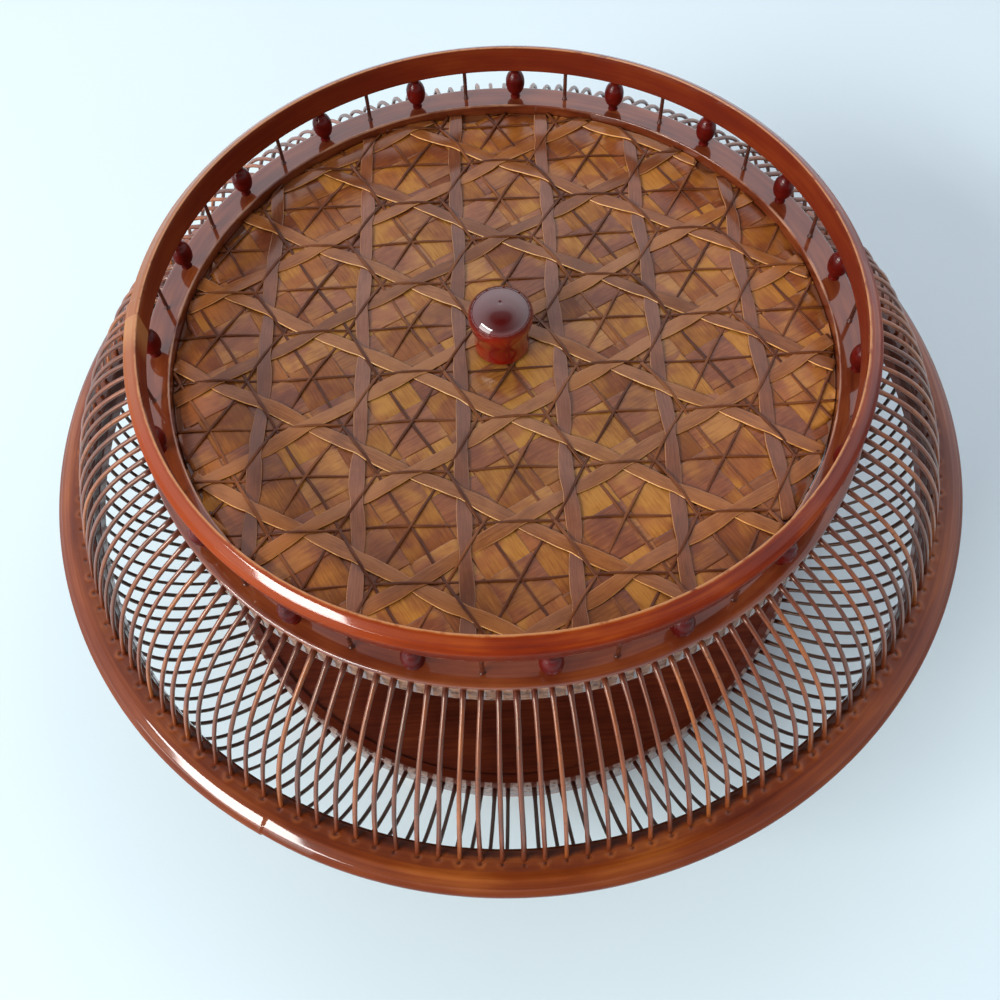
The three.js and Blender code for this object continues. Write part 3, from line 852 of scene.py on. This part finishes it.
def rib_group(name, line, quarter, seed):
    """A quarter of the ribs as one piece of closed rods."""
    rng = np.random.default_rng(seed)
    per_quarter = RIB_COUNT // len(QUARTERS)
    count = len(line)
    step = np.gradient(line, axis=0)
    side = np.stack([-step[:, 1], step[:, 0]], 1) / np.linalg.norm(step, axis=1)[:, None]
    length = np.concatenate([[0], np.cumsum(np.linalg.norm(np.diff(line, axis=0), axis=1))])
    around = np.arange(RIB_SIDES) * TAU / RIB_SIDES
    share = length / length[-1]
    cap = np.clip((3.4 * MM - (length[-1] - length)) / (0.8 * MM), 0, 1)
    ends = np.clip(cap + np.exp(-(length / (1.6 * MM)) ** 2), 0, 1)
    parts = []
    faces = []
    marks = {"grain": [], "tint": [], "stain": []}
    for i in range(per_quarter):
        angle = (quarter - 0.5) * TAU / 4 + (i + 0.5) * RIB_STEP
        lean = rng.normal(0, 0.28 * MM)
        sway = lean + np.sin(share * TAU + rng.uniform(0, TAU)) * rng.normal(0, 0.12 * MM)
        sway = sway * np.sin(share * math.pi)
        bulge = np.sin(share * math.pi) * rng.normal(0, 0.22 * MM)
        thick = RIB_RADIUS * (1 + rng.normal(0, 0.05) + 0.03 * np.sin(share * 9 + rng.uniform(0, TAU)))
        thick = thick * (1 + 0.3 * cap)
        facing = around - math.radians(rng.normal(20, 14))
        section = np.abs(np.cos(facing)) ** RIB_FLATNESS + np.abs(np.sin(facing)) ** RIB_FLATNESS
        section = section ** (-1 / RIB_FLATNESS)
        out = thick[:, None] * (section * np.cos(around))
        r = (line[:, 0] + bulge * side[:, 0])[:, None] + out * side[:, :1]
        z = (line[:, 1] + bulge * side[:, 1])[:, None] + out * side[:, 1:]
        t = sway[:, None] + thick[:, None] * (section * np.sin(around))
        x = r * math.cos(angle) - t * math.sin(angle)
        y = r * math.sin(angle) + t * math.cos(angle)
        faces += rod_faces(count, RIB_SIDES, i * count * RIB_SIDES, True)
        parts.append(np.stack([x, y, z], -1).reshape(-1, 3))
        along = np.repeat(length[:, None], RIB_SIDES, 1)
        turn = np.repeat((around * RIB_RADIUS)[None, :], count, 0)
        index = np.full_like(along, quarter * per_quarter + i)
        marks["grain"].append(np.stack([along, turn, index], -1).reshape(-1, 3))
        marks["tint"].append(np.full(count * RIB_SIDES, rng.uniform(0, 1)))
        marks["stain"].append(np.repeat(ends * 0.85, RIB_SIDES))
    return join_parts(name, parts, faces, marks)


def make_ribs():
    upper = node_ring("rim_upper_hoop")
    lower = node_ring("rim_lower_hoop")
    neck = node_ring("neck_ring")
    base = node_ring("base_hoop")
    upper_finish = rib_material("shoulder_lacquer", SHOULDER_TONES, 1.62)
    # The bowl ribs' darker tones are painted shade
    lower_finish = rib_material("bowl_lacquer", SHADED_BOWL_TONES, 1.35)
    upper_end = (neck.outer - RIB_SEAT_DEPTH, neck.low + UPPER_RIB_END_RISE)
    lower_end = (base.outer - RIB_SEAT_DEPTH, base.high - LOWER_RIB_END_DROP)
    shoulder = rib_line(UPPER_RIB, (rib_circle(), upper.high - RIB_ROOT_DEPTH), upper_end, 1)
    bowl = rib_line(LOWER_RIB, (rib_circle(), lower.low + RIB_ROOT_DEPTH), lower_end, -1)
    for quarter, side in enumerate(QUARTERS):
        piece = rib_group("shoulder_rods_" + side, shoulder, quarter, 100 + quarter)
        dress(piece, "basket", ["shoulder_ribs_" + side], [upper_finish])
        piece = rib_group("bowl_rods_" + side, bowl, quarter, 200 + quarter)
        dress(piece, "basket", ["bowl_ribs_" + side], [lower_finish])


# Neck and gallery

def make_neck():
    piece = hoop("neck", plain_outline(node_ring("neck_ring"), (0.4, 0.6, 0.9, 0.35)), FINE_SEGMENTS, 31)
    finish = ring_material("neck_lacquer", "neck_ring", NECK_TONES, 1.7, NECK_BAND, NECK_BAND_TONES)
    dress(piece, "basket", ["neck_ring"], [finish])

    outline = plain_outline(node_ring("lid_seat_hoop"), (0.4, 0.3, 0.3, 0.5))
    piece = hoop("lid_seat", outline, FINE_SEGMENTS, 33, uneven=0.0)
    dress(piece, "basket", ["lid_seat_hoop"], [finish])


def bead_profile(low, high, radius):
    """Turned ball on a short neck at each end."""
    neck = 0.42 * radius
    middle = (low + high) / 2
    half = (high - low) / 2 - 1.25 * MM
    points = [(0, low), (1.3 * neck, low), (neck, low + 0.3 * MM)]
    for k in range(1, 24):
        share = -math.cos(math.pi * k / 24)
        width = radius * (1 - abs(share) ** 2.3) ** 0.5
        if width > neck:
            points.append((width, middle + half * share))
    return points + [(neck, high - 0.3 * MM), (1.3 * neck, high), (0, high)]


def peg_profile(low, high, radius):
    """Thin round peg, slightly fuller in its middle, in a spot of lacquer at each end."""
    spot = [(0, 0), (1.5, 0), (1.4, 0.25 * MM), (1, 0.7 * MM)]
    points = [(radius * wide, low + up) for wide, up in spot]
    for k in range(1, 6):
        share = k / 6
        points.append((radius * (1 + 0.05 * math.sin(math.pi * share)), low + (high - low) * share))
    return points + [(radius * wide, high - up) for wide, up in reversed(spot)]


def top_shift(ring):
    """The step of the top hoop's scarf joint."""

    def shift(radius, height, turn):
        from_scarf = (turn - TOP_SCARF) % TAU
        outside = np.clip((radius - ring.inner - 2 * MM) / MM, 0, 1)
        step = 0.35 * MM * np.exp(-from_scarf / 0.1) * outside
        return radius + step, height + 0.4 * step, {}

    return shift


def make_gallery(peg_finish):
    low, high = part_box("gallery_bead_01")
    shade = ((low.z + high.z) / 2, 1.4, 2.8)
    bead_finish = gloss_material("bead_lacquer", BEAD_TONES, 0.04, 1.38, shade)
    for name in sorted(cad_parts):
        if not name.startswith("gallery_"):
            continue
        low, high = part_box(name)
        centre = ((low.x + high.x) / 2, (low.y + high.y) / 2)
        width = (high.x - low.x + high.y - low.y) / 4
        bottom = low.z - GALLERY_OVERLAP
        top = high.z + GALLERY_OVERLAP
        label = name.replace("gallery_", "")
        if name.startswith("gallery_bead"):
            piece = turned(label, bead_profile(bottom, top, width), BEAD_SEGMENTS, centre)
            dress(piece, "basket", [name], [bead_finish])
        else:
            piece = turned(label, peg_profile(bottom, top, 0.95 * width), PEG_SEGMENTS, centre)
            dress(piece, "basket", [name], [peg_finish])

    ring = node_ring("top_hoop")
    outline = rounded_outline([
        (ring.inner, ring.low, 0.6),
        (ring.outer - TOP_HOOP_TAPER, ring.low, 0.7),
        (ring.outer, ring.high - 3.0 * MM, 1.0),
        (ring.outer - 1.3 * MM, ring.high - 1.62 * MM, 0.7),
        (ring.outer - 3.2 * MM, ring.high - 0.39 * MM, 0.9),
        (ring.inner, ring.high, 0.3),
    ], 6)
    piece = hoop("top_band", outline, FINE_SEGMENTS * 2, 41, top_shift(ring))
    dress(piece, "basket", ["top_hoop"], [top_hoop_material()])


# Lid

class Weave:
    """Gathers flat strips in millimetres round the lid's middle and makes one mesh."""

    def __init__(self, radius, seed):
        self.radius = radius
        self.rng = np.random.default_rng(seed)
        self.parts = []
        self.faces = []
        self.slots = []
        self.marks = {"grain": [], "tint": [], "edge": [], "foot": []}
        self.start = 0

    def strip(self, line, width, thickness, height, slot, pinch=None, bow=0.3,
              lean=2.0, flare=0.05, dome=0.05, spacing=1.1, sides=(0.5, 0.5), rim=0.3):
        """One strip along a line (angle, distance). height(t) gives its underside's level,
        pinch(t) where it narrows, and sides how much of the edge colour its two cut edges get."""
        rng = self.rng
        angle, distance = line
        reach = math.sqrt(max(self.radius ** 2 - distance ** 2, 1.0))
        rows = max(8, int(2 * reach / spacing))
        t = np.linspace(-reach, reach, rows + 1)
        phase = rng.uniform(0, TAU, 5)
        sway = bow * (np.sin(t / 9.3 + phase[0]) + 0.6 * np.sin(t / 4.9 + phase[1]))
        roll = np.radians(lean) * (np.sin(t / 7.7 + phase[2]) + 0.8 * np.sin(t / 15.1 + phase[3]))
        wide = width * (1 + flare * np.sin(t / 5.6 + phase[4]))
        if pinch is not None:
            wide = wide * (1 - STRIP_NARROWING * pinch(t))
        bevel = min(0.12, thickness * 0.3)
        inner = 1 - 2 * bevel / width
        margin = 1 - 2 * rim / width
        columns = (-inner, -margin, -0.35 * margin, 0.35 * margin, margin, inner)
        section = [(-1.0, 0.0), (-1.0, thickness - bevel)]
        section += [(u, thickness + dome * (1 - u * u)) for u in columns]
        section += [(1.0, thickness - bevel), (1.0, 0.0), (0.0, 0.0)]
        section = np.array(section)
        size = len(section)
        across = section[:, 0] * wide[:, None] / 2
        up = section[:, 1] + across * np.tan(roll)[:, None] + height(t)[:, None]
        side = distance + across + sway[:, None]
        limit = np.sqrt(np.maximum(self.radius ** 2 - side ** 2, 0.01))
        along = np.clip(t[:, None], -limit, limit)
        x = along * math.cos(angle) - side * math.sin(angle)
        y = along * math.sin(angle) + side * math.cos(angle)
        self.parts.append(np.stack([x, y, up], -1).reshape(-1, 3))
        faces = rod_faces(rows + 1, size, self.start)
        self.faces += faces
        self.slots += [slot] * len(faces)
        label = np.full_like(along, len(self.parts) * 1.7)
        pale = np.zeros(size)
        pale[[1, 2]] = sides[0]
        pale[[-3, -4]] = sides[1]
        # The foot mark: painted shade at the bottom of the strip's sides
        low = np.zeros(size)
        low[[0, -1, -2]] = 1.0
        self.marks["grain"].append(np.stack([along * MM, across * MM, label], -1).reshape(-1, 3))
        self.marks["tint"].append(np.full((rows + 1) * size, rng.uniform(0, 1)))
        self.marks["edge"].append(np.tile(pale, rows + 1))
        self.marks["foot"].append(np.tile(low, rows + 1))
        self.start += (rows + 1) * size

    def piece(self, name, level):
        parts = [part * MM + (0, 0, level) for part in self.parts]
        piece = join_parts(name, parts, self.faces, self.marks)
        piece.data.polygons.foreach_set("material_index", self.slots)
        return piece


def parallel_lines(degrees, first, pitch, reach):
    """Lines (angle, distance) of one direction, as far as a reach from the lid's middle."""
    angle = math.radians(degrees) + WEAVE_TURN
    middle = -math.sin(angle) * WEAVE_ORIGIN[0] + math.cos(angle) * WEAVE_ORIGIN[1]
    distances = [middle + first + k * pitch for k in range(-15, 16)]
    return [(angle, d) for d in distances if abs(d) < reach]


def crossings(line, family):
    """Places along a line where the lines of another direction cross it."""
    angle, distance = line
    return np.array([(d - distance * math.cos(a - angle)) / -math.sin(a - angle) for a, d in family])


def gap_to(places, t):
    """Distance from each t to the nearest place."""
    return np.abs(t[:, None] - places[None, :]).min(1)


def ripple(top):
    """Level of a strip that passes over another at a place and at each period from it."""
    return lambda t: STRIP_LIFT * (0.5 + 0.5 * np.cos(TAU * (t - top) / STRIP_PERIOD))


def closeness(places):
    """Nearness to any of some places along a strip."""
    return lambda t: np.exp(-((gap_to(places, t) / 3.0) ** 2))


def stepped(places, stops, levels):
    """Level that follows the distance from the nearest of some places."""
    return lambda t: np.interp(gap_to(places, t), stops, levels)


def make_upper_weave(radius, level, materials):
    """Interlaced flat strips in three directions, with fine strands over their crossings."""
    weave = Weave(radius, 61)
    quarter = WEAVE_PITCH / 4
    half_way = WEAVE_PITCH / 2
    first_strand = quarter / math.sqrt(3)
    layout = {
        "upright": (90, 0.0, WEAVE_PITCH),
        "rising": (30, quarter, WEAVE_PITCH),
        "falling": (-30, -quarter, WEAVE_PITCH),
        "level": (0, 0.0, STRAND_PITCH),
        "steep": (60, first_strand, STRAND_PITCH),
        "back": (120, first_strand, STRAND_PITCH),
    }
    lines = {name: parallel_lines(*place, 2 * radius) for name, place in layout.items()}

    def on_lid(name):
        return [line for line in lines[name] if abs(line[1]) < radius - 2]

    # Edge shares: pale bamboo core, painted lightest on the falling strips' front edges, which face the
    # window
    for name, above, below, slot, sides in (
        ("falling", "rising", "upright", 0, (1.0, 0.25)),
        ("rising", "upright", "falling", 0, (0.45, 0.2)),
        ("upright", "falling", "rising", 1, (0.3, 0.5)),
    ):
        for line in on_lid(name):
            over = crossings(line, lines[below])
            both = np.concatenate([over, crossings(line, lines[above])])
            weave.strip(line, STRIP_WIDTH, STRIP_THICKNESS, ripple(over[0]), slot, closeness(both),
                        bow=0.34, lean=2.6, flare=0.08, sides=sides)

    stops = (0, 2.0, half_way - 3.5, half_way + 3.5, WEAVE_PITCH - 5, WEAVE_PITCH)
    for name, family, width, centre in (
        ("back", "upright", 0.95, 0.0), ("level", "rising", 0.75, 0.22), ("steep", "rising", 0.8, 0.46),
    ):
        levels = (2 * STRIP_LIFT, 2 * STRIP_LIFT, -0.1, -0.1, centre, centre)
        for line in on_lid(name):
            height = stepped(crossings(line, lines[family]), stops, levels)
            weave.strip(line, width, STRAND_THICKNESS, height, 2, bow=0.28, lean=4, dome=0.1,
                        sides=(0.35, 0.2), rim=0.2)
    piece = weave.piece("lid_weave", level)
    return dress(piece, "lid", ["lid_weave_panel"], materials)


def plait(weave, degrees, pitch, width, thickness, lift, firsts, seed):
    """Plain weave of wide strips in two directions at right angles."""
    rng = np.random.default_rng(seed)
    angle = math.radians(degrees) + WEAVE_TURN
    reach = int(weave.radius / pitch) + 2
    for turn, slot in ((angle, 0), (angle - math.pi / 2, 1)):
        for k in range(-reach, reach + 1):
            distance = firsts[slot] + k * pitch
            if abs(distance) > weave.radius - 1.5:
                continue

            def height(t, k=k, slot=slot):
                at = (t - firsts[1]) / pitch if slot == 0 else (-t - firsts[0]) / pitch
                wave = np.cos(math.pi * at) * (-1) ** (k + slot)
                return lift * np.tanh(3 * wave)

            line = (turn, distance + rng.normal(0, 0.2))
            weave.strip(line, width + rng.normal(0, 0.3), thickness, height, slot, bow=0.12, lean=0.5,
                        flare=0.01, dome=0.04, sides=(0.6, 0.6), rim=0.5, spacing=1.3)


def knob_profile(low, high, head):
    """Short body with a soft foot, swelling into an egg-like head with a turning mark."""
    foot = KNOB_FOOT_SHARE * head
    neck = KNOB_NECK_SHARE * head
    widest = low + 0.72 * (high - low)
    body = low + 0.27 * (high - low)
    points = [(0, low), (foot - 0.4 * MM, low)]
    points += arc((foot - 0.4 * MM, low + 0.5 * MM), 0.4 * MM, -60, 20, 4)
    for k in range(1, 5):
        points.append((foot + (neck - foot) * k / 4, low + 0.7 * MM + (body - low - 0.7 * MM) * k / 4))
    for k in range(1, 17):
        share = k / 16
        swell = 0.5 - 0.5 * math.cos(math.pi * share)
        points.append((neck + (head - neck) * swell, body + (widest - body) * share))
    for k in range(1, 25):
        angle = math.radians(86 * k / 24)
        points.append((head * math.cos(angle) ** 0.85, widest + (high - widest) * math.sin(angle)))
    points += [(0.45 * MM, high - 0.02 * MM), (0.3 * MM, high - 0.15 * MM), (0, high - 0.18 * MM)]
    return points


def make_lid_rim(backing):
    """The hoop under the lid's edge, with a ledge for the lining."""
    rim = node_ring("lid_rim_hoop")
    bore = backing.outer + 0.3 * MM
    ledge = backing.low - 0.3 * MM
    outline = rounded_outline([
        (rim.inner, rim.low, 0.4),
        (rim.outer, rim.low, 0.6),
        (rim.outer, rim.high, 0.6),
        (bore, rim.high, 0.5),
        (bore, ledge, 0.1),
        (rim.inner, ledge, 0.4),
    ])
    piece = hoop("lid_rim", outline, FINE_SEGMENTS, 51, uneven=0.05 * MM)
    finish = low_hoop_material("lid_rim_lacquer", "lid_rim_hoop")
    dress(piece, "lid", ["lid_rim_hoop"], [finish])


def make_lid_binding(panel):
    """Thin binding round the edge of the lid's upper weave."""
    inner = panel.outer - 3.4 * MM
    outer = panel.outer + 0.45 * MM
    low = panel.low - 0.15 * MM
    high = panel.low + 0.42 * MM
    outline = rounded_outline([(inner, low, 0.1), (outer, low, 0.15), (outer, high, 0.25),
                               (inner, high - 0.15 * MM, 0.1)])
    piece = hoop("lid_binding", outline, FINE_SEGMENTS, 52, uneven=0.04 * MM)
    finish = hoop_finish(hoop_shader("lid_binding_lacquer", BINDING_TONES), 0.2)
    dress(piece, "lid", [], [finish])


def make_lid_weave(panel, backing):
    """The lid's upper weave with its binding, the mat under it and the lining below."""
    # The mat's dark edge colour: painted shade in the gaps between its strips, with dark lacquer gathered
    # there
    mat_finishes = [
        strip_material("smooth_mat", SMOOTH_TONES, (0.05, 0.014, 0.005), 0.9, 1400, 0.9, 0.2,
                       FIBROUS_TONES),
        strip_material("fibrous_mat", FIBROUS_TONES, (0.06, 0.017, 0.006), 0.9, 2200, 0.55, 0.3,
                       SMOOTH_TONES),
    ]
    radius = panel.outer / MM + 0.35
    mat = Weave(radius, 71)
    plait(mat, 30, 14.6, 14.75, 0.35, 0.16, (3.1, 6.4), 5)
    dress(mat.piece("lid_mat", panel.low + 0.1 * MM), "lid", [], mat_finishes)

    weave_finishes = [
        strip_material("flat_strip", FLAT_TONES, (0.66, 0.36, 0.13), 1.0, 2600, 0.8, 0.2),
        strip_material("upright_strip", UPRIGHT_TONES, (0.58, 0.3, 0.11), 0.8, 2600, 1.0, 0.15),
        strip_material("fine_strand", STRAND_TONES, (0.3, 0.11, 0.03), 0.6, 3000, 0.5, 0.25),
    ]
    make_upper_weave(radius, panel.low + 0.55 * MM, weave_finishes)
    make_lid_binding(panel)

    lining = Weave(backing.outer / MM, 81)
    plait(lining, 75, 9.8, 9.3, 0.3, 0.14, (1.3, 4.2), 9)
    piece = lining.piece("lid_lining", backing.low + 0.45 * MM)
    dress(piece, "lid", ["lid_backing_panel"], mat_finishes)


def make_knob(pin_finish):
    """The knob, and the pin that holds it from under the lid."""
    low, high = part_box("lid_knob")
    profile = knob_profile(low.z - 0.25 * MM, high.z, (high.x - low.x) / 2)
    piece = turned("knob", profile, KNOB_SEGMENTS)
    knob_finish = gloss_material("knob_lacquer", KNOB_TONES, 0.03, 1.85, shaded_crown=(high.z, -5.5, -2.5))
    dress(piece, "lid", ["lid_knob"], [knob_finish])

    low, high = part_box("knob_pin")
    head = (high.x - low.x) / 2
    points = [(0, low.z), (0.5 * head, low.z + 0.03 * MM), (0.85 * head, low.z + 0.2 * MM)]
    points += arc((head - 0.4 * MM, low.z + 0.7 * MM), 0.4 * MM, -50, 90, 5)
    points += [(1.9 * MM, low.z + 1.1 * MM), (1.75 * MM, low.z + 1.4 * MM)]
    points += [(1.75 * MM, high.z), (0, high.z)]
    dress(turned("pin", points, PIN_SEGMENTS), "lid", ["knob_pin"], [pin_finish])


# Whole basket

make_camera()
make_floor()
make_room()
for window in WINDOWS:
    make_window(window)
make_base()
make_rim()
make_ribs()
make_neck()
peg_finish = gloss_material("peg_lacquer", PEG_TONES, 0.12)
make_gallery(peg_finish)
backing_panel = node_ring("lid_backing_panel")
make_lid_rim(backing_panel)
make_lid_weave(node_ring("lid_weave_panel"), backing_panel)
make_knob(peg_finish)
